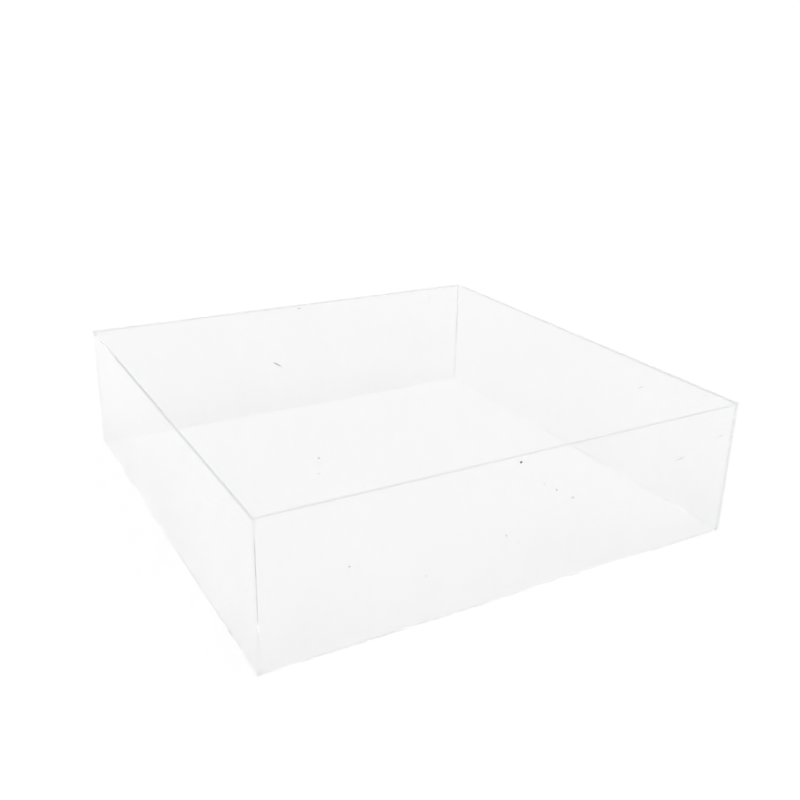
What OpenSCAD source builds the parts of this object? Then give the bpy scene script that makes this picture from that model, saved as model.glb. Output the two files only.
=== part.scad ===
// Five-sided clear acrylic display cover, open underneath.
// Five flat sheets are cemented edge to face: the top lies on the four walls, the side walls
// run the full depth, and the front and back walls stand between them.
// Origin: centre of the plane that the rim stands on. X runs left to right, Y front to back.

/* [Cover] */
// Outside width, left to right
cover_w = 700; // [300:5:1000]
// Outside depth, front to back
cover_d = 700; // [300:5:1000]
// Outside height, from the rim to the top of the top sheet
cover_h = 195; // [80:5:600]

/* [Sheet] */
// Thickness of the top sheet
top_t = 3; // [2:0.5:12]
// Thickness of the four wall sheets
wall_t = 3; // [2:0.5:12]
// Width of the scraped flat along every outer edge
arris = 0.3; // [0.1:0.1:0.8]

/* [Cement] */
// Thickness of the cured cement between two sheets
bond_t = 0.2; // [0.1:0.05:0.3]
// Leg of the small cement fillet along every inner corner
bead_r = 0.5; // [0.4:0.1:1.5]

/* [Hidden] */

// Smoothness of the fillet's hollow face
bead_fn = 32;
// Overshoot of a cutting shape past the face that it cuts
past = 1;
// The two colours: clear sheet, and cement, which is a little greyer
sheet_colour = [0.90, 0.93, 0.93, 0.30];
cement_colour = [0.72, 0.75, 0.76, 0.60];

// Underside of the top sheet, and the level at which the walls end below the cement
under_top = cover_h - top_t;
wall_h = under_top - bond_t;
// Length of the front and back walls, with cement at both ends
between_w = cover_w - 2 * (wall_t + bond_t);
// Clear distances between the inner faces of opposite walls
inside_w = cover_w - 2 * wall_t;
inside_d = cover_d - 2 * wall_t;

// Rectangle centred in X and standing on Y = 0, with its four corners cut at 45 degrees
module scraped_rect(w, h) {
    polygon([
        [-w / 2 + arris, 0], [w / 2 - arris, 0],
        [w / 2, arris], [w / 2, h - arris],
        [w / 2 - arris, h], [-w / 2 + arris, h],
        [-w / 2, h - arris], [-w / 2, arris]
    ]);
}

// The assembled cover's outer form: a block with a scraped flat on each of its twelve edges
module outer_form() {
    intersection() {
        translate([0, -cover_d / 2, 0])
            linear_extrude(cover_h) scraped_rect(cover_w, cover_d);
        translate([0, cover_d / 2 + past, 0]) rotate([90, 0, 0])
            linear_extrude(cover_d + 2 * past) scraped_rect(cover_w, cover_h);
        translate([-cover_w / 2 - past, 0, 0]) rotate([90, 0, 90])
            linear_extrude(cover_w + 2 * past) scraped_rect(cover_d, cover_h);
    }
}

// What is left of a piece when the glued cover's outer edges are trimmed and scraped
module trimmed() {
    intersection() {
        children();
        outer_form();
    }
}

// A wall between the side walls, at the front for side = -1 and at the back for side = 1
module cross_wall(side) {
    color(sheet_colour) trimmed()
        translate([-between_w / 2, side * (cover_d - wall_t) / 2 - wall_t / 2, 0])
            cube([between_w, wall_t, wall_h]);
}

// A wall over the full depth, on the left for side = -1 and on the right for side = 1
module side_wall(side) {
    color(sheet_colour) trimmed()
        translate([side * (cover_w - wall_t) / 2 - wall_t / 2, -cover_d / 2, 0])
            cube([wall_t, cover_d, wall_h]);
}

module top_panel() {
    color(sheet_colour) trimmed()
        translate([-cover_w / 2, -cover_d / 2, under_top])
            cube([cover_w, cover_d, top_t]);
}

// Hollow fillet in the corner between the positive X and Y axes
module bead_section() {
    difference() {
        square(bead_r);
        translate([bead_r, bead_r]) circle(bead_r, $fn = bead_fn);
    }
}

// Cement in one upright corner: side_x and side_y are -1 or 1 and choose the corner
module corner_bond(side_x, side_y) {
    color(cement_colour) trimmed()
        mirror([side_x > 0 ? 1 : 0, 0, 0]) mirror([0, side_y > 0 ? 1 : 0, 0])
            translate([-inside_w / 2, -cover_d / 2, 0]) {
                cube([bond_t, wall_t, wall_h]);
                translate([0, wall_t, 0]) linear_extrude(under_top - bead_r) bead_section();
            }
}

// Cement under one edge of the top, from x = 0 to x = run: the level strip is wall_t wide and
// the fillet stops short of both ends by bead_gap
module top_run(run, bead_gap) {
    translate([0, 0, -bond_t]) cube([run, wall_t, bond_t]);
    translate([bead_gap, wall_t, 0]) rotate([0, 90, 0])
        linear_extrude(run - 2 * bead_gap) bead_section();
}

// Cement between the top and the front wall (side = -1) or the back wall (side = 1)
module cross_top_bond(side) {
    color(cement_colour) trimmed()
        mirror([0, side > 0 ? 1 : 0, 0])
            translate([-inside_w / 2, -cover_d / 2, under_top]) top_run(inside_w, 0);
}

// Cement between the top and the left wall (side = -1) or the right wall (side = 1)
module side_top_bond(side) {
    color(cement_colour) trimmed()
        mirror([side > 0 ? 1 : 0, 0, 0])
            translate([-cover_w / 2, cover_d / 2, under_top]) rotate([0, 0, -90])
                top_run(cover_d, wall_t + bead_r);
}

top_panel();
cross_wall(-1);  // front_wall
cross_wall(1);  // back_wall
side_wall(-1);  // left_wall
side_wall(1);  // right_wall
corner_bond(-1, -1);  // front_left_corner_bond
corner_bond(1, -1);  // front_right_corner_bond
corner_bond(-1, 1);  // back_left_corner_bond
corner_bond(1, 1);  // back_right_corner_bond
cross_top_bond(-1);  // front_top_bond
cross_top_bond(1);  // back_top_bond
side_top_bond(-1);  // left_top_bond
side_top_bond(1);  // right_top_bond
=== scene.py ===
"""Looks of a five-sided clear acrylic display cover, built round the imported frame.

Five sheets of cast acrylic are cemented edge to face and stand on their rim. Lengths are in metres,
apart from names that end in _mm, and places are in the frame's own axes: +X right, +Y back, +Z up.
"""

import logging
import math
from collections.abc import Callable, Mapping
from dataclasses import dataclass, field
from enum import Enum

import bmesh
import bpy
from mathutils import Matrix, Vector, noise


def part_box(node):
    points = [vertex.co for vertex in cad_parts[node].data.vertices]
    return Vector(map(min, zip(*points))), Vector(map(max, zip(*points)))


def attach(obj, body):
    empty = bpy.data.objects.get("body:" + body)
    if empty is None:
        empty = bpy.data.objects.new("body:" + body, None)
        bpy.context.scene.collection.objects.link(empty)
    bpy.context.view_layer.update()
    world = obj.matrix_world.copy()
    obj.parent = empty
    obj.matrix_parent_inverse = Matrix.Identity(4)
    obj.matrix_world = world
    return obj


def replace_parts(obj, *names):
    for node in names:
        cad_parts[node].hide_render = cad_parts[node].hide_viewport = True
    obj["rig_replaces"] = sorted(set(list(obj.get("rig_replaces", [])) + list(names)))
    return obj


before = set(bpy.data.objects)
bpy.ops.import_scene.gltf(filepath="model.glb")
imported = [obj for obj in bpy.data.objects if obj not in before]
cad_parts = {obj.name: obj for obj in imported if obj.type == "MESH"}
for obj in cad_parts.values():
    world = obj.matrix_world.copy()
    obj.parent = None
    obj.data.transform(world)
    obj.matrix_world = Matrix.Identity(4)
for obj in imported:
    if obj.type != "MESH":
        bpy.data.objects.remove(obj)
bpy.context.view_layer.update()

MM = 0.001
ROOT_BODY = "root"

ACRYLIC_IOR = 1.49
# The body of each sheet bends light less than ACRYLIC_IOR. With the full value a cemented edge traps
# light and looks dark, where the real one is pale. The clear coat has the full value, for the gloss.
BODY_BEND = 1.03
SQUARE_ON = 0.99  # a normal's part along an axis, above which the face counts as square to it
WELD = 1e-7  # metres, below which two points are one

log = logging.getLogger("display_cover")

Colour = tuple[float, float, float, float]
Socket = bpy.types.NodeSocket
MaskMaker = Callable[[bpy.types.NodeTree, bpy.types.NodeSocket], bpy.types.NodeSocket]


def linear(hex_colour: str) -> Colour:
    """Turn an sRGB hex colour into Blender's linear colour.

    Args:
        hex_colour: six hex digits with a leading #.

    Returns:
        Red, green, blue and an alpha of 1, linear.
    """
    channels = [int(hex_colour[i : i + 2], 16) / 255 for i in (1, 3, 5)]
    red, green, blue = (
        c / 12.92 if c <= 0.04045 else ((c + 0.055) / 1.055) ** 2.4 for c in channels
    )
    return (red, green, blue, 1.0)


def add_node(
    tree: bpy.types.NodeTree,
    kind: str,
    inputs: Mapping[int | str, object] | None = None,
    **settings: object,
) -> bpy.types.Node:
    """Add one node with its settings, and link or set its inputs.

    Args:
        tree: the node tree that gets it.
        kind: the node's type without its ShaderNode prefix.
        inputs: by name or number, a socket to link or a value to set.
        **settings: properties of the node itself.

    Returns:
        The new node.
    """
    node = tree.nodes.new("ShaderNode" + kind)
    for name, value in settings.items():
        setattr(node, name, value)
    for key, value in (inputs or {}).items():
        if isinstance(value, Socket):
            tree.links.new(value, node.inputs[key])
        else:
            node.inputs[key].default_value = value
    return node


def new_material(name: str) -> tuple[bpy.types.Material, bpy.types.NodeTree, bpy.types.Node]:
    """Make an empty node material.

    Args:
        name: the material's name.

    Returns:
        The material, its node tree and its output node.
    """
    material = bpy.data.materials.new(name)
    material.use_nodes = True
    tree = material.node_tree
    tree.nodes.clear()
    return material, tree, add_node(tree, "OutputMaterial")


def place_in_mm(tree: bpy.types.NodeTree) -> Socket:
    """Add the nodes that give a point's place in the frame, in millimetres."""
    place = add_node(tree, "TexCoord").outputs["Object"]
    return add_node(
        tree, "VectorMath", {0: place, "Scale": 1 / MM}, operation="SCALE"
    ).outputs[0]


def ramp(tree: bpy.types.NodeTree, value: Socket, span: tuple[float, float],
         out: tuple[float, float]) -> Socket:
    """Map a value smoothly and clamped from one span to another.

    Args:
        tree: the node tree.
        value: the socket that is mapped.
        span: the lowest and highest input that matter.
        out: what those two give.

    Returns:
        The mapped socket.
    """
    return add_node(
        tree,
        "MapRange",
        {"Value": value, "From Min": span[0], "From Max": span[1], "To Min": out[0], "To Max": out[1]},
        interpolation_type="SMOOTHSTEP",
    ).outputs["Result"]


def math_node(tree: bpy.types.NodeTree, operation: str, *values: object) -> Socket:
    """Combine values by one Math operation and return its socket."""
    return add_node(tree, "Math", dict(enumerate(values)), operation=operation).outputs[0]


class Zone(Enum):
    """What a face of a sheet is, in the order of the sheet's material slots."""

    FACE = 0
    EDGE = 1
    RIM = 2
    ARRIS = 3
    TOP_JOINT = 4
    CORNER_JOINT = 5


class Axis(Enum):
    """An axis of the frame, by its place in a vector."""

    X = 0
    Y = 1
    Z = 2


@dataclass(frozen=True)
class Mark:
    """A pit, fleck or scratch on a sheet's outer face, or a patch of painted shade on it.

    at_mm is its middle, length_mm and width_mm its size, turn the angle in degrees that its length
    makes with the first axis of the face, and depth how much of the light it stops, from 0 to 1.
    """

    at_mm: tuple[float, float, float]
    length_mm: float
    width_mm: float
    turn: float
    depth: float


@dataclass(frozen=True)
class CastAcrylic:
    """Clear cast acrylic sheet: glass-smooth from the casting mould, so that it shows by its slight
    grey body colour, by gloss, by the fine hairlines and specks that handling leaves, and by painted
    shade: a greyish haze that is darkest towards the rim, and dark patches at two bottom corners.

    A span is the noise between which a pattern goes from nothing to full.
    """

    tint: str = "#FAFAFA"
    # also the colour of two patches of painted shade at bottom corners
    mark_and_shade_colour: str = "#1C1E1F"
    mark_roughness: float = 0.5
    mark_edge: tuple[float, float] = (0.75, 1.25)
    mark_reach_mm: float = 1.5
    ragged_mm: float = 1.2
    ragged_per_mm: float = 0.9
    wave_mm: float = 85.0
    wave_height_mm: float = 0.02
    smear_mm: float = 60.0
    smear_span: tuple[float, float] = (0.52, 0.72)
    smear_roughness: float = 0.03
    film_and_shade_colour: str = "#EEEEEE"
    # painted shade: the haze is fullest at the rim and thins upward over this height, so the sheet is
    # painted darker towards its bottom
    shade_fade_height_mm: float = 150.0
    shade_high_share: float = 0.25
    film_span: tuple[float, float] = (0.25, 0.75)
    film_spread: tuple[float, float] = (0.6, 1.4)
    hairline_mm: float = 2.2
    hairline_stretch: float = 90.0
    hairline_depth_mm: float = 40.0
    hairline_span: tuple[float, float] = (0.66, 0.74)
    hairline_turns: tuple[float, float] = (24.0, -51.0)
    hairline_roughness: float = 0.10

    def hairlines(self, tree: bpy.types.NodeTree, place: Socket, turn: float) -> Socket:
        """Thin wiping scratches along one direction, as a mask.

        They are drawn wider apart than the real ones, which are too fine to show.

        Args:
            tree: the node tree.
            place: the point's place in millimetres.
            turn: the angle of the scratches in degrees.

        Returns:
            A mask, 1 on a scratch.
        """
        spacing = (self.hairline_mm * self.hairline_stretch, self.hairline_mm, self.hairline_depth_mm)
        along = add_node(
            tree,
            "Mapping",
            {
                "Vector": place,
                "Rotation": (0.0, 0.0, math.radians(turn)),
                "Scale": tuple(1 / size for size in spacing),
            },
        ).outputs[0]
        grain = add_node(
            tree, "TexNoise", {"Vector": along, "Scale": 1.0, "Detail": 2.0, "Roughness": 0.6}
        ).outputs[0]
        return ramp(tree, grain, self.hairline_span, (0.0, 1.0))

    def marks(
        self, tree: bpy.types.NodeTree, place: Socket, thin: Axis, marks: tuple[Mark, ...]
    ) -> Socket:
        """Listed specks and scratches, and patches of painted shade, as one mask.

        Args:
            tree: the node tree.
            place: the point's place in millimetres.
            thin: the axis along the sheet's thickness.
            marks: the marks on this sheet.

        Returns:
            A mask, 0 on clean sheet.
        """
        ragged = add_node(
            tree, "TexNoise", {"Vector": place, "Scale": self.ragged_per_mm, "Detail": 3.0}
        ).outputs["Color"]
        shift = add_node(
            tree, "VectorMath", {0: ragged, 1: (0.5, 0.5, 0.5)}, operation="SUBTRACT"
        ).outputs[0]
        moved = add_node(
            tree,
            "VectorMath",
            {0: shift, 1: (self.ragged_mm,) * 3, 2: place},
            operation="MULTIPLY_ADD",
        ).outputs[0]
        total: object = 0.0
        for mark in marks:
            turn = [0.0, 0.0, 0.0]
            turn[thin.value] = math.radians(-mark.turn if thin is Axis.Y else mark.turn)
            half = [mark.width_mm / 2] * 3
            half[0 if thin is not Axis.X else 1] = mark.length_mm / 2
            half[thin.value] = self.mark_reach_mm
            local = add_node(
                tree,
                "Mapping",
                {"Vector": moved, "Location": mark.at_mm, "Rotation": turn, "Scale": half},
                vector_type="TEXTURE",
            ).outputs[0]
            away = add_node(tree, "VectorMath", {0: local}, operation="LENGTH").outputs["Value"]
            spot = ramp(tree, away, self.mark_edge, (mark.depth, 0.0))
            total = math_node(tree, "MAXIMUM", total, spot)
        return add_node(tree, "Clamp", {"Value": total}).outputs[0]

    def film_and_shade(self, tree: bpy.types.NodeTree, place: Socket, share: float) -> Socket:
        """A thin greyish haze that hands leave, in soft blotches, with painted shade: it is thickest
        towards the rim, so it paints each sheet darker towards its bottom.

        Args:
            tree: the node tree.
            place: the point's place in millimetres.
            share: how much haze and painted shade the sheet carries, from 0 to 1.

        Returns:
            How much of the haze and painted shade shows at the point.
        """
        height = add_node(tree, "SeparateXYZ", {0: place}).outputs["Z"]
        # painted shade: full at the rim, thinning upward
        low = ramp(tree, height, (0.0, self.shade_fade_height_mm), (1.0, self.shade_high_share))
        blotch = add_node(
            tree, "TexNoise", {"Vector": place, "Scale": 1 / (2 * self.smear_mm), "Detail": 5.0}
        ).outputs[0]
        least, most = self.film_spread
        amount = ramp(tree, blotch, self.film_span, (least * share, most * share))
        return math_node(tree, "MULTIPLY", low, amount)

    def material(
        self, name: str, thin: Axis, marks: tuple[Mark, ...], film_and_shade: float
    ) -> bpy.types.Material:
        """Make the finish of one sheet's two broad faces.

        Args:
            name: the material's name.
            thin: the axis along the sheet's thickness.
            marks: what handling has left on its outer face, and patches of painted shade on it.
            film_and_shade: how much greyish haze of handling and painted shade it carries, from 0 to 1.

        Returns:
            The material.
        """
        material, tree, output = new_material(name)
        place = place_in_mm(tree)
        # the marks' mask: specks and scratches, plus two patches of painted shade at bottom corners
        marks_and_shade_mask = self.marks(tree, place, thin, marks)
        swell = add_node(
            tree, "TexNoise", {"Vector": place, "Scale": 1 / self.wave_mm, "Detail": 1.0}
        ).outputs[0]
        wave = add_node(
            tree, "Bump", {"Height": swell, "Strength": 1.0, "Distance": self.wave_height_mm * MM}
        ).outputs[0]
        smear = add_node(
            tree,
            "TexNoise",
            {"Vector": place, "Scale": 1 / self.smear_mm, "Detail": 4.0, "Distortion": 0.8},
        ).outputs[0]
        blur = ramp(tree, smear, self.smear_span, (0.0, self.smear_roughness))
        lines = math_node(
            tree, "MAXIMUM", *(self.hairlines(tree, place, turn) for turn in self.hairline_turns)
        )
        rough = math_node(tree, "MULTIPLY_ADD", lines, self.hairline_roughness, blur)
        dull = math_node(tree, "MULTIPLY_ADD", marks_and_shade_mask, self.mark_roughness, rough)
        # painted shade: the greyish haze darkens the sheet, most towards the rim
        sheet = add_node(
            tree,
            "Mix",
            {0: self.film_and_shade(tree, place, film_and_shade), 6: linear(self.tint), 7: linear(self.film_and_shade_colour)},
            data_type="RGBA",
        ).outputs[2]
        colour = add_node(
            tree,
            "Mix",
            {0: marks_and_shade_mask, 6: sheet, 7: linear(self.mark_and_shade_colour)},
            data_type="RGBA",
        ).outputs[2]
        clear = math_node(tree, "SUBTRACT", 1.0, marks_and_shade_mask)
        shader = add_node(
            tree,
            "BsdfPrincipled",
            {
                "Base Color": colour,
                "Roughness": dull,
                "IOR": BODY_BEND,
                "Coat Weight": 1.0,
                "Coat IOR": ACRYLIC_IOR,
                "Coat Roughness": 0.0,
                "Transmission Weight": clear,
                "Normal": wave,
            },
        )
        tree.links.new(shader.outputs[0], output.inputs["Surface"])
        return material


@dataclass(frozen=True)
class SawnEdge:
    """A sheet's edge, saw-cut, planed and buffed: it passes light but scatters it, so it looks paler
    or greyer than the clear faces, with the cutter's faint steps across it."""

    tint: str = "#F8F9F9"
    roughness: float = 0.3
    through: float = 0.45
    step_mm: float = 2.4
    step_height_mm: float = 0.008
    step_strength: float = 0.7
    step_lean: tuple[float, float, float] = (1.0, 1.0, 0.6)
    uneven_mm: float = 20.0
    uneven_phase: float = 18.0
    patch_per_mm: float = 0.03
    patch_span: tuple[float, float] = (0.3, 0.7)
    patch_spread: tuple[float, float] = (0.6, 1.4)

    def material(self, name: str) -> bpy.types.Material:
        """Make the finish; the cutter's steps are drawn coarser than real ones, so that they show."""
        material, tree, output = new_material(name)
        place = place_in_mm(tree)
        along = add_node(
            tree, "VectorMath", {0: place, 1: self.step_lean}, operation="DOT_PRODUCT"
        ).outputs["Value"]
        uneven = add_node(
            tree, "TexNoise", {"Vector": place, "Scale": 1 / self.uneven_mm, "Detail": 2.0}
        ).outputs[0]
        delay = math_node(tree, "MULTIPLY", uneven, self.uneven_phase)
        phase = math_node(tree, "MULTIPLY_ADD", along, 2 * math.pi / self.step_mm, delay)
        steps = math_node(tree, "SINE", phase)
        bump = add_node(
            tree,
            "Bump",
            {"Height": steps, "Strength": self.step_strength, "Distance": self.step_height_mm * MM},
        ).outputs[0]
        patch = add_node(
            tree, "TexNoise", {"Vector": place, "Scale": self.patch_per_mm, "Detail": 3.0}
        ).outputs[0]
        smooth, dull = self.patch_spread
        rough = ramp(tree, patch, self.patch_span, (self.roughness * smooth, self.roughness * dull))
        shader = add_node(
            tree,
            "BsdfPrincipled",
            {
                "Base Color": linear(self.tint),
                "Roughness": rough,
                "IOR": BODY_BEND,
                "Transmission Weight": self.through,
                "Normal": bump,
            },
        )
        tree.links.new(shader.outputs[0], output.inputs["Surface"])
        return material


@dataclass(frozen=True)
class WettedJoint:
    """A sheet's face inside a cemented joint: the cement has the sheet's own IOR, so the face shows as
    no more than a faint veil, except along the dry stretch, where it is bare and clear as glass."""

    tint: str = "#F4F6F6"
    roughness: float = 0.25
    faint: float = 0.08

    def material(self, name: str, dry: MaskMaker) -> bpy.types.Material:
        """Make the finish.

        Args:
            name: the material's name.
            dry: adds the nodes of the dry stretch's mask.

        Returns:
            The material.
        """
        material, tree, output = new_material(name)
        mask = dry(tree, place_in_mm(tree))
        shader = add_node(
            tree,
            "BsdfPrincipled",
            {
                "Base Color": linear(self.tint),
                "Roughness": self.roughness,
                "IOR": BODY_BEND,
                "Transmission Weight": mask,
                "Alpha": ramp(tree, mask, (0.0, 1.0), (self.faint, 1.0)),
            },
        )
        tree.links.new(shader.outputs[0], output.inputs["Surface"])
        return material


@dataclass(frozen=True)
class CuredCement:
    """Acrylic cement, drawn in by capillary pull and cured clear: a thin pale grey line with pinhead
    bubbles. Where it ran short, what is left of it is painted dark grey, as painted shade for the dark
    line that a dry joint shows."""

    tint: str = "#D8DCDC"
    # painted shade: the dark grey of the dry stretch, standing in for the dark line of a dry joint; the
    # bubbles are mixed partway to it
    dry_shade_and_bubble_tint: str = "#6C7273"
    roughness: float = 0.3
    through: float = 0.3
    alpha: float = 0.16
    dry_alpha: float = 0.95
    bubble_mm: float = 1.6
    bubble_edge: tuple[float, float] = (0.12, 0.22)
    bubble_share: float = 0.6

    def material(self, name: str, dry: MaskMaker) -> bpy.types.Material:
        """Make the finish; the bubbles are drawn larger and fewer than real ones, so that they show.

        Args:
            name: the material's name.
            dry: adds the nodes of the dry stretch's mask.

        Returns:
            The material.
        """
        material, tree, output = new_material(name)
        place = place_in_mm(tree)
        mask = dry(tree, place)
        cells = add_node(
            tree, "TexVoronoi", {"Vector": place, "Scale": 1 / self.bubble_mm}
        ).outputs["Distance"]
        bubbles = ramp(tree, cells, self.bubble_edge, (self.bubble_share, 0.0))
        dry_shade_and_bubbles = math_node(tree, "MAXIMUM", mask, bubbles)
        # painted shade: the dry stretch's cement is painted dark grey, and the bubbles take part of
        # that grey
        colour = add_node(
            tree,
            "Mix",
            {0: dry_shade_and_bubbles, 6: linear(self.tint), 7: linear(self.dry_shade_and_bubble_tint)},
            data_type="RGBA",
        ).outputs[2]
        shader = add_node(
            tree,
            "BsdfPrincipled",
            {
                "Base Color": colour,
                "Roughness": self.roughness,
                "IOR": BODY_BEND,
                "Transmission Weight": self.through,
                "Alpha": ramp(tree, dry_shade_and_bubbles, (0.0, 1.0), (self.alpha, self.dry_alpha)),
            },
        )
        tree.links.new(shader.outputs[0], output.inputs["Surface"])
        return material


@dataclass(frozen=True)
class DryStretch:
    """The length of the near upright corner where the cement ran short, by height above the rim."""

    low_mm: float = 50.0
    high_mm: float = 164.0
    fade_mm: float = 4.0
    ragged_mm: float = 14.0
    ragged_per_mm: float = 0.35
    corner_mm: tuple[float, float] = (-350.0, -350.0)
    reach_mm: float = 6.0

    def share(self, height_mm: float) -> float:
        """How dry the joint is at a height, from 0 to 1."""
        inside = min(height_mm - self.low_mm, self.high_mm - height_mm)
        return min(max(inside / self.fade_mm + 0.5, 0.0), 1.0)

    def mask(self, tree: bpy.types.NodeTree, place: Socket) -> Socket:
        """Add the nodes that give the same share as a ragged mask, at that corner only.

        Args:
            tree: the node tree.
            place: the point's place in millimetres.

        Returns:
            A mask, 1 where the joint is dry.
        """
        ragged = add_node(
            tree, "TexNoise", {"Vector": place, "Scale": self.ragged_per_mm, "Detail": 3.0}
        ).outputs[0]
        axes = add_node(tree, "SeparateXYZ", {0: place}).outputs
        lowered = math_node(tree, "SUBTRACT", axes[2], self.ragged_mm / 2)
        height = math_node(tree, "MULTIPLY_ADD", ragged, self.ragged_mm, lowered)
        above, below = (
            ramp(tree, height, (end - self.fade_mm, end + self.fade_mm), out)
            for end, out in ((self.low_mm, (0.0, 1.0)), (self.high_mm, (1.0, 0.0)))
        )
        near = add_node(
            tree,
            "VectorMath",
            {
                0: add_node(tree, "CombineXYZ", {0: axes[0], 1: axes[1]}).outputs[0],
                1: (*self.corner_mm, 0.0),
            },
            operation="DISTANCE",
        ).outputs["Value"]
        here = math_node(tree, "LESS_THAN", near, self.reach_mm)
        return math_node(tree, "MULTIPLY", math_node(tree, "MULTIPLY", above, below), here)


@dataclass(frozen=True)
class Cover:
    """The assembled cover's planes, read from the frame's boxes."""

    low: Vector
    high: Vector
    inner_low: Vector
    inner_high: Vector
    bond: float
    bead: float = 0.5 * MM

    @classmethod
    def from_frame(cls) -> "Cover":
        """Read the outer box, the inside of the walls and top, and the cement's thickness."""
        top_low, top_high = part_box("top_panel")
        left_low, left_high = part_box("left_wall")
        right_low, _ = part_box("right_wall")
        front_low, front_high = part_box("front_wall")
        back_low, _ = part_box("back_wall")
        return cls(
            low=Vector((top_low.x, top_low.y, left_low.z)),
            high=top_high,
            inner_low=Vector((left_high.x, front_high.y, left_low.z)),
            inner_high=Vector((right_low.x, back_low.y, top_low.z)),
            bond=front_low.x - left_high.x,
        )

    def outside(self, point: Vector) -> bool:
        """True if a point lies outside the cover's outer box."""
        return any(not self.low[i] < point[i] < self.high[i] for i in range(3))

    def in_cavity(self, point: Vector) -> bool:
        """True if a point lies inside the walls and under the top."""
        return (
            self.inner_low.x < point.x < self.inner_high.x
            and self.inner_low.y < point.y < self.inner_high.y
            and point.z < self.inner_high.z
        )

    def in_bead(self, point: Vector) -> bool:
        """True if a point of the cavity lies in an inner corner that holds a bead of cement."""
        close = (
            min(point.x - self.inner_low.x, self.inner_high.x - point.x) < self.bead,
            min(point.y - self.inner_low.y, self.inner_high.y - point.y) < self.bead,
            self.inner_high.z - point.z < self.bead,
        )
        return sum(close) > 1

    def outer_planes(self, point: Vector, slack: float = 0.02 * MM) -> int:
        """On how many planes of the outer box a point lies."""
        return sum(
            min(abs(point[i] - self.low[i]), abs(point[i] - self.high[i])) < slack for i in range(3)
        )


def as_object(bm: bmesh.types.BMesh, name: str) -> bpy.types.Object:
    """Turn a bmesh into a scene object and free it.

    Args:
        bm: the finished bmesh.
        name: the object's name.

    Returns:
        The object.
    """
    mesh = bpy.data.meshes.new(name)
    bmesh.ops.recalc_face_normals(bm, faces=bm.faces)
    bm.to_mesh(mesh)
    bm.free()
    piece = bpy.data.objects.new(name, mesh)
    bpy.context.scene.collection.objects.link(piece)
    return piece


@dataclass
class Sheet:
    """One flat sheet of the cover, with scraped outer edges."""

    cover: Cover
    node: str
    thin: Axis
    finishes: list[bpy.types.Material]
    arris_mm: float = 0.3
    arris_steps: int = 2
    probe_mm: float = 0.02

    def block(self) -> bmesh.types.BMesh:
        """Make the plain sheet between the corners of its CAD node."""
        low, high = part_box(self.node)
        bm = bmesh.new()
        size = high - low
        bmesh.ops.create_cube(
            bm, size=1.0, matrix=Matrix.Translation((low + high) / 2) @ Matrix.Diagonal((*size, 1.0))
        )
        return bm

    def scrape(self, bm: bmesh.types.BMesh) -> None:
        """Take the sharpness off each edge that the finished cover leaves bare.

        Args:
            bm: the sheet's bmesh.
        """
        rim = self.cover.low.z
        bare = []
        for edge in bm.edges:
            middle = (edge.verts[0].co + edge.verts[1].co) / 2
            on_outer = self.cover.outer_planes(middle)
            along = (edge.verts[0].co - edge.verts[1].co).normalized()
            faces_joint = any(
                self.zone(face.calc_center_median(), face.normal) is Zone.CORNER_JOINT
                for face in edge.link_faces
            )
            on_rim = abs(middle.z - rim) < self.probe_mm * MM and abs(along.z) < SQUARE_ON
            if on_outer > 1 or (on_rim and not faces_joint):
                bare.append(edge)
        bmesh.ops.bevel(
            bm,
            geom=bare,
            offset=self.arris_mm * MM,
            offset_type="OFFSET",
            segments=self.arris_steps,
            profile=0.5,
            affect="EDGES",
        )

    def cut_lines(self) -> list[tuple[Vector, Vector]]:
        """Planes along which the sheet is divided, so that each face is all bare or all joint."""
        cover, lines = self.cover, []
        for axis in (0, 1):
            normal = Vector((axis == 0, axis == 1, 0))
            for inner, way in ((cover.inner_low, 1), (cover.inner_high, -1)):
                for inset in (0.0, cover.bead):
                    lines.append((inner + normal * way * inset, normal))
        lines.append((cover.inner_high - Vector((0, 0, cover.bead)), Vector((0, 0, 1))))
        return lines

    def divide(self, bm: bmesh.types.BMesh) -> None:
        """Cut the faces along the planes of cut_lines."""
        for point, normal in self.cut_lines():
            geometry = bm.verts[:] + bm.edges[:] + bm.faces[:]
            bmesh.ops.bisect_plane(bm, geom=geometry, dist=WELD, plane_co=point, plane_no=normal)

    def zone(self, centre: Vector, normal: Vector) -> Zone:
        """Tell what a face is from its middle and normal.

        Args:
            centre: the face's middle.
            normal: its outward normal.

        Returns:
            The zone, which chooses its finish.
        """
        if max(abs(n) for n in normal) < SQUARE_ON:
            return Zone.ARRIS
        probe = centre + normal * self.probe_mm * MM
        cover = self.cover
        if not cover.outside(probe) and (not cover.in_cavity(probe) or cover.in_bead(probe)):
            return Zone.TOP_JOINT if abs(normal.z) > SQUARE_ON else Zone.CORNER_JOINT
        if abs(normal[self.thin.value]) > SQUARE_ON:
            return Zone.FACE
        return Zone.RIM if normal.z < -SQUARE_ON else Zone.EDGE

    def shape(self, bm: bmesh.types.BMesh) -> None:
        """Give the sheet what form it has beyond a flat block; a plain wall has none."""

    def build(self) -> bpy.types.Object:
        """Make the sheet, finish its faces and let it stand for its CAD node."""
        bm = self.block()
        self.scrape(bm)
        self.divide(bm)
        bm.normal_update()
        for face in bm.faces:
            face.material_index = self.zone(face.calc_center_median(), face.normal).value
        self.shape(bm)
        piece = as_object(bm, "sheet_" + self.node)
        for material in self.finishes:
            piece.data.materials.append(material)
        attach(piece, ROOT_BODY)
        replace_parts(piece, self.node)
        return piece


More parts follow.
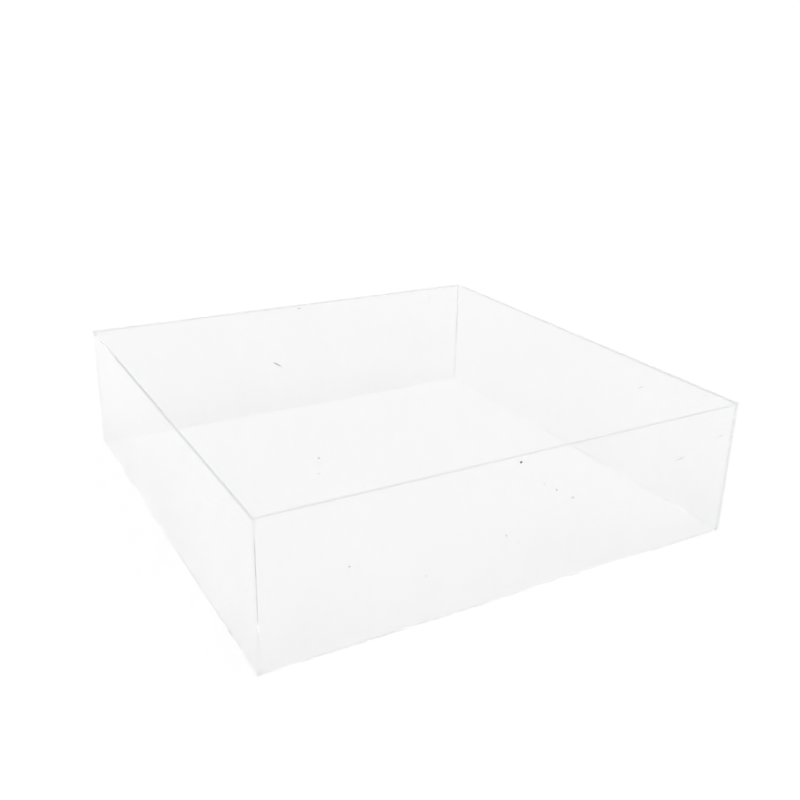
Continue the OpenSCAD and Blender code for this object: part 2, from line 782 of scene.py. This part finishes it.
@dataclass
class TopSheet(Sheet):
    """The top, which its own weight lets hang a little between the cemented edges."""

    sag_mm: float = 1.2
    rows: int = 24

    def cut_lines(self) -> list[tuple[Vector, Vector]]:
        """The joint lines, and a grid fine enough for the sag to look smooth."""
        lines = super().cut_lines()
        cover = self.cover
        for axis in (0, 1):
            normal = Vector((axis == 0, axis == 1, 0))
            start, end = cover.inner_low[axis] + cover.bead, cover.inner_high[axis] - cover.bead
            for row in range(1, self.rows):
                lines.append((normal * (start + (end - start) * row / self.rows), normal))
        return lines

    def shape(self, bm: bmesh.types.BMesh) -> None:
        """Lower the sheet's middle, with no slope where it is cemented.

        Args:
            bm: the sheet's bmesh.
        """
        low, high, bead = self.cover.inner_low, self.cover.inner_high, self.cover.bead
        for vertex in bm.verts:
            shares = [
                (vertex.co[i] - low[i] - bead) / (high[i] - low[i] - 2 * bead) for i in range(2)
            ]
            dip = math.prod(math.sin(math.pi * min(max(s, 0.0), 1.0)) ** 2 for s in shares)
            vertex.co.z -= self.sag_mm * MM * dip
        for face in bm.faces:
            face.smooth = face.material_index == Zone.FACE.value


@dataclass
class CementRun:
    """The cured cement of one joint: a thin strip between two sheets and a hollow bead inside.

    The run begins at the point start and goes the way of along. The strip's thickness lies the way of
    across and its width the way of inward. bare_ends is how far the bead stops short of the two ends,
    and clear_mm keeps the strip just off the sheets, so that no two faces lie in one plane. The ranges
    run from what is always there to what the wander adds.
    """

    cover: Cover
    node: str
    start: Vector
    along: Vector
    across: Vector
    inward: Vector
    length: float
    bare_ends: tuple[float, float]
    finish: bpy.types.Material
    dry: DryStretch | None = None
    clear_mm: float = 0.01
    station_mm: float = 5.0
    bead_end_mm: tuple[float, ...] = (0.0, 0.2, 0.6)
    arc_steps: int = 5
    wander_mm: float = 18.0
    bead_range: tuple[float, float] = (0.65, 0.33)
    recess_range_mm: tuple[float, float] = (0.02, 0.16)
    dry_recess: float = 0.7
    dry_bead_loss: float = 0.9
    seed: float = 0.0

    @property
    def sheet_t(self) -> float:
        """Thickness of the walls, which is the strip's width."""
        return self.cover.inner_low.x - self.cover.low.x

    def stations(self) -> list[float]:
        """Places along the run where a section is set, closer together at the bead's ends."""
        count = max(2, round(self.length / (self.station_mm * MM)))
        places = {self.length * i / count for i in range(count + 1)}
        for end, bare in ((0.0, self.bare_ends[0]), (self.length, self.bare_ends[1])):
            way = 1 if end == 0.0 else -1
            places |= {end + way * (bare + step * MM) for step in self.bead_end_mm}
        return sorted(places)

    def wander(self, place: float, salt: float) -> float:
        """A smooth irregular share from 0 to 1 along the run."""
        value = noise.noise(Vector((place / (self.wander_mm * MM), salt, self.seed)))
        return min(max(0.5 + value, 0.0), 1.0)

    def section(self, place: float) -> list[Vector]:
        """The outline of the cement at one place, as points in the frame.

        Args:
            place: distance along the run.

        Returns:
            The outline's points, in order.
        """
        gap = self.clear_mm * MM
        width, thick = self.sheet_t, self.cover.bond
        dry = self.dry.share(place / MM) if self.dry else 0.0
        least, more = self.bead_range
        radius = self.cover.bead * (least + more * self.wander(place, 1.0))
        first, last = self.bare_ends[0], self.length - self.bare_ends[1]
        full = 0.0 if place <= first or place >= last else 1.0 - self.dry_bead_loss * dry
        least, more = self.recess_range_mm
        recess = (least + more * self.wander(place, 2.0)) * MM + dry * self.dry_recess * width
        points = [(gap, recess), (thick - gap, recess), (thick - gap, width + gap)]
        for step in range(self.arc_steps + 1):
            share = step / self.arc_steps
            angle = -math.pi / 2 * (1 + share)
            arc = Vector((radius + radius * math.cos(angle), width + radius + radius * math.sin(angle)))
            flat = Vector((thick - gap + (2 * gap - thick) * share, width + gap))
            point = flat.lerp(arc, full)
            points.append((max(point.x, gap), max(point.y, width + gap)))
        base = self.start + self.along * place
        return [base + self.across * a + self.inward * b for a, b in points]

    def build(self) -> bpy.types.Object:
        """Loft the sections, close the ends and let the piece stand for its CAD node."""
        bm = bmesh.new()
        rings = [[bm.verts.new(p) for p in self.section(s)] for s in self.stations()]
        count = len(rings[0])
        for near, far in zip(rings, rings[1:]):
            for i in range(count):
                j = (i + 1) % count
                bm.faces.new((near[i], near[j], far[j], far[i]))
        bm.faces.new(rings[0])
        bm.faces.new(reversed(rings[-1]))
        bmesh.ops.remove_doubles(bm, verts=bm.verts, dist=WELD)
        bmesh.ops.dissolve_degenerate(bm, edges=bm.edges, dist=WELD)
        piece = as_object(bm, "cement_" + self.node)
        piece.data.materials.append(self.finish)
        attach(piece, ROOT_BODY)
        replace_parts(piece, self.node)
        return piece


@dataclass
class Sheets:
    """The five sheets, what handling has left on them, the painted shade on them, and their finishes.

    The arris is scraped by hand and left matt, so it scatters more than the buffed edge. The rim is
    flame-polished, so light passes it almost freely. The top joint shows a stronger veil than the
    upright ones, because it is seen through its whole width.
    """

    cover: Cover
    dry: DryStretch
    face: CastAcrylic = field(default_factory=CastAcrylic)
    edge: SawnEdge = field(default_factory=SawnEdge)
    arris: SawnEdge = field(
        default_factory=lambda: SawnEdge(tint="#F0F2F2", roughness=0.45, step_height_mm=0.0)
    )
    rim: SawnEdge = field(
        default_factory=lambda: SawnEdge(
            tint="#FBFCFC", roughness=0.08, through=0.92, step_height_mm=0.0
        )
    )
    top_joint: WettedJoint = field(default_factory=lambda: WettedJoint(tint="#EDEFEF", faint=0.40))
    corner_joint: WettedJoint = field(default_factory=WettedJoint)
    top_marks: tuple[Mark, ...] = (
        Mark((-147, 70, 195), 24, 2.2, -80, 1.0),
        Mark((0, 325, 195), 7, 3.0, 20, 1.0),
        Mark((248, 292, 195), 6, 2.4, 70, 0.9),
        Mark((-48, 110, 195), 5, 2.6, 0, 0.8),
        Mark((62, 10, 195), 8, 1.8, 30, 0.6),
        Mark((270, -245, 195), 14, 1.9, 15, 0.5),
        Mark((328, -310, 195), 12, 1.9, 10, 0.45),
        Mark((-230, -253, 195), 3.0, 2.4, 0, 0.9),
        Mark((-247, -290, 195), 2.4, 2.0, 0, 0.7),
    )
    front_marks: tuple[Mark, ...] = (
        Mark((-13, -350, 184), 3.2, 2.8, 0, 1.0),
        Mark((45, -350, 134), 2.1, 1.8, 0, 0.9),
        Mark((72, -350, 117), 2.2, 1.8, 0, 0.9),
        Mark((25, -350, 147), 1.9, 1.6, 0, 0.7),
        Mark((-27, -350, 89), 2.1, 1.7, 0, 0.8),
        Mark((-8, -350, 75), 1.9, 1.6, 0, 0.7),
        Mark((-239, -350, 106), 2.1, 1.7, 0, 0.8),
        Mark((-139, -350, 65), 2.0, 1.6, 0, 0.7),
        Mark((252, -350, 132), 16, 1.4, 8, 0.48),
        Mark((323, -350, 151), 10, 1.4, 5, 0.34),
        # painted shade: a dark patch at the right bottom corner, standing in for the dark bit that
        # refraction shows there
        Mark((343, -350, 4), 6, 2.2, 20, 0.25),
        Mark((-345, -350, 3), 4, 2.2, 0, 0.2),
        Mark((-346, -350, 187), 9, 1.4, 90, 0.15),
    )
    left_marks: tuple[Mark, ...] = (
        Mark((-350, 8, 194), 10, 1.2, 0, 0.6),
        Mark((-350, -262, 2), 6, 2.4, 0, 0.6),
        # painted shade: a dark patch at the back bottom corner, standing in for the dark bit that
        # refraction shows there
        Mark((-350, 344, 4), 4, 3.0, 0, 0.4),
    )

    def build(self) -> list[bpy.types.Object]:
        """Make the five sheets, each with its marks and its share of haze and painted shade."""
        edge = self.edge.material("sawn_and_buffed_acrylic_edge")
        arris = self.arris.material("scraped_acrylic_arris")
        rim = self.rim.material("polished_acrylic_rim")
        top_joint = self.top_joint.material("cement_wetted_top_joint", self.dry.mask)
        corner_joint = self.corner_joint.material("cement_wetted_corner_joint", self.dry.mask)
        shared = [edge, rim, arris, top_joint, corner_joint]
        # the last number of each plan is the sheet's share of haze and painted shade
        plans: list[tuple[type[Sheet], str, Axis, tuple[Mark, ...], float]] = [
            (TopSheet, "top_panel", Axis.Z, self.top_marks, 0.5),
            (Sheet, "front_wall", Axis.Y, self.front_marks, 0.3),
            (Sheet, "back_wall", Axis.Y, (), 0.2),
            (Sheet, "left_wall", Axis.X, self.left_marks, 0.5),
            (Sheet, "right_wall", Axis.X, (), 0.0),
        ]
        pieces = []
        for kind, node, thin, marks, film_and_shade in plans:
            face = self.face.material("cast_acrylic_" + node, thin, marks, film_and_shade)
            pieces.append(kind(self.cover, node, thin, [face, *shared]).build())
        return pieces


@dataclass
class Cement:
    """The eight runs of cured cement: four upright corners and four under the top."""

    cover: Cover
    dry: DryStretch
    finish: CuredCement = field(default_factory=CuredCement)

    def corner(self, side_x: int, side_y: int, material: bpy.types.Material) -> CementRun:
        """Plan the run in one upright corner.

        Args:
            side_x: -1 for a left corner, 1 for a right one.
            side_y: -1 for a front corner, 1 for a back one.
            material: the cement's finish.

        Returns:
            The run.
        """
        cover = self.cover
        names = "front" if side_y < 0 else "back", "left" if side_x < 0 else "right"
        node = "_".join((*names, "corner_bond"))
        start = Vector((
            cover.inner_low.x if side_x < 0 else cover.inner_high.x,
            cover.low.y if side_y < 0 else cover.high.y,
            cover.low.z,
        ))
        return CementRun(
            cover=cover,
            node=node,
            start=start,
            along=Vector((0, 0, 1)),
            across=Vector((-side_x, 0, 0)),
            inward=Vector((0, -side_y, 0)),
            length=cover.inner_high.z - cover.bond,
            bare_ends=(0.0, cover.bead - cover.bond),
            finish=material,
            dry=self.dry if side_x < 0 and side_y < 0 else None,
            seed=1.5 * side_x + 4.0 * side_y,
        )

    def under_top(self, axis: Axis, side: int, material: bpy.types.Material) -> CementRun:
        """Plan the run between the top and one wall.

        Args:
            axis: the axis that the wall runs along.
            side: -1 for the left or front wall, 1 for the right or back one.
            material: the cement's finish.

        Returns:
            The run.
        """
        cover = self.cover
        under = cover.inner_high.z
        if axis is Axis.X:
            node = ("front" if side < 0 else "back") + "_top_bond"
            start = Vector((cover.inner_low.x, cover.low.y if side < 0 else cover.high.y, under))
            length, bare = cover.inner_high.x - cover.inner_low.x, 0.0
            along, inward = Vector((1, 0, 0)), Vector((0, -side, 0))
        else:
            node = ("left" if side < 0 else "right") + "_top_bond"
            start = Vector((cover.low.x if side < 0 else cover.high.x, cover.low.y, under))
            length = cover.high.y - cover.low.y
            bare = cover.inner_low.y - cover.low.y + cover.bead
            along, inward = Vector((0, 1, 0)), Vector((-side, 0, 0))
        return CementRun(
            cover=cover,
            node=node,
            start=start,
            along=along,
            across=Vector((0, 0, -1)),
            inward=inward,
            length=length,
            bare_ends=(bare, bare),
            finish=material,
            seed=7.0 + 2.5 * axis.value + side,
        )

    def build(self) -> list[bpy.types.Object]:
        """Make the eight runs."""
        material = self.finish.material("cured_acrylic_cement", self.dry.mask)
        sides = (-1, 1)
        runs = [self.corner(x, y, material) for x in sides for y in sides]
        runs += [self.under_top(axis, side, material) for axis in (Axis.X, Axis.Y) for side in sides]
        return [run.build() for run in runs]


@dataclass
class Studio:
    """Pale floor, white surroundings, one soft lamp and the camera.

    surround_level is the plain level of the light, lit_share how much of the floor's look is its own
    lit paint, which carries the shadow, and white_level how bright the rest of it is.
    """

    floor_colour: str = "#F2F2F2"
    floor_half: float = 6.0
    floor_drop_mm: float = 0.2
    grain_per_mm: float = 0.4
    grain_strength: float = 0.2
    grain_height_mm: float = 0.1
    surround_level: float = 0.92
    lit_share: float = 0.80
    white_level: float = 1.60
    key_strength: float = 0.25
    key_spread: float = 60.0
    key_from: tuple[float, float, float] = (-0.15, -0.35, 1.0)
    focal_mm: float = 42.53
    azimuth: float = -29.89
    elevation: float = 21.51
    roll: float = 1.23
    distance: float = 1.795
    target: tuple[float, float] = (0.190, 0.293)

    def seen_plainly(self, tree: bpy.types.NodeTree) -> Socket:
        """1 for a ray from the camera, straight or by way of glass and gloss, and 0 for other light."""
        path = add_node(tree, "LightPath").outputs
        by_way = math_node(tree, "MAXIMUM", path["Is Glossy Ray"], path["Is Transmission Ray"])
        sight = math_node(tree, "MAXIMUM", path["Is Camera Ray"], by_way)
        direct = math_node(tree, "LESS_THAN", path["Diffuse Depth"], 0.5)
        return math_node(tree, "MULTIPLY", sight, direct)

    def surround(self) -> None:
        """Light from all round at a plain level, seen as white."""
        world = bpy.data.worlds.new("white_surround")
        bpy.context.scene.world = world
        world.use_nodes = True
        tree = world.node_tree
        background = tree.nodes["Background"]
        background.inputs["Color"].default_value = linear("#FFFFFF")
        strength = ramp(tree, self.seen_plainly(tree), (0.0, 1.0), (self.surround_level, 1.0))
        tree.links.new(strength, background.inputs["Strength"])

    def floor(self) -> bpy.types.Object:
        """A pale matt floor that keeps the cover's shadow and meets the white surround."""
        bm = bmesh.new()
        bmesh.ops.create_grid(bm, x_segments=1, y_segments=1, size=self.floor_half)
        bmesh.ops.translate(bm, verts=bm.verts, vec=(0, 0, -self.floor_drop_mm * MM))
        piece = as_object(bm, "studio_floor")
        material, tree, output = new_material("pale_matt_floor")
        grain = add_node(
            tree,
            "TexNoise",
            {"Vector": place_in_mm(tree), "Scale": self.grain_per_mm, "Detail": 2.0},
        ).outputs[0]
        bump = add_node(
            tree,
            "Bump",
            {"Height": grain, "Strength": self.grain_strength, "Distance": self.grain_height_mm * MM},
        ).outputs[0]
        matt = add_node(tree, "BsdfDiffuse", {"Color": linear(self.floor_colour), "Normal": bump})
        plain = math_node(tree, "MULTIPLY", self.seen_plainly(tree), 1 - self.lit_share)
        white = add_node(tree, "Emission", {"Color": linear("#FFFFFF"), "Strength": self.white_level})
        both = add_node(tree, "MixShader", {0: plain, 1: matt.outputs[0], 2: white.outputs[0]})
        tree.links.new(both.outputs[0], output.inputs["Surface"])
        piece.data.materials.append(material)
        return piece

    def soft_key(self) -> None:
        """Light the cover from high in front by one broad lamp, even over the whole floor."""
        lamp = bpy.data.lights.new("broad_soft_key", "SUN")
        lamp.energy = self.key_strength
        lamp.angle = math.radians(self.key_spread)
        holder = bpy.data.objects.new("broad_soft_key", lamp)
        holder.rotation_euler = Vector(self.key_from).to_track_quat("Z", "Y").to_euler()
        bpy.context.scene.collection.objects.link(holder)

    def camera(self) -> None:
        """Set up the camera, tilted by the small roll of a hand-held view."""
        azimuth, elevation = math.radians(self.azimuth), math.radians(self.elevation)
        back = Vector((
            math.sin(azimuth) * math.cos(elevation),
            -math.cos(azimuth) * math.cos(elevation),
            math.sin(elevation),
        ))
        data = bpy.data.cameras.new("camera")
        data.lens = self.focal_mm
        holder = bpy.data.objects.new("camera", data)
        turn = (-back).to_track_quat("-Z", "Y").to_matrix().to_4x4()
        place = Vector((*self.target, 0.0)) + back * self.distance
        tilt = Matrix.Rotation(math.radians(self.roll), 4, "Z")
        holder.matrix_world = Matrix.Translation(place) @ turn @ tilt
        bpy.context.scene.collection.objects.link(holder)
        bpy.context.scene.camera = holder

    def build(self) -> None:
        """Set up everything round the cover.

        Light has to pass many sheets and reflections unblurred, or the inside goes dark. The denoiser
        works from colour alone, because the other guides break the thin edge strips into dashes.
        """
        scene = bpy.context.scene
        scene.view_settings.view_transform = "Standard"
        scene.cycles.blur_glossy = 0.0
        scene.cycles.denoising_input_passes = "RGB"
        scene.cycles.max_bounces = 32
        scene.cycles.diffuse_bounces = 6
        scene.cycles.glossy_bounces = 16
        scene.cycles.transmission_bounces = 32
        scene.cycles.transparent_max_bounces = 32
        self.surround()
        self.floor()
        self.soft_key()
        self.camera()


def main() -> None:
    """Build the studio and the cover, and report each piece."""
    logging.basicConfig(level=logging.INFO, format="%(name)s: %(message)s")
    Studio().build()
    cover = Cover.from_frame()
    dry = DryStretch()
    for group in (Sheets(cover, dry), Cement(cover, dry)):
        for piece in group.build():
            stands_for = ", ".join(piece["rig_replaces"])
            log.info("%s: %d faces, stands for %s", piece.name, len(piece.data.polygons), stands_for)


if __name__ == "__main__":
    main()
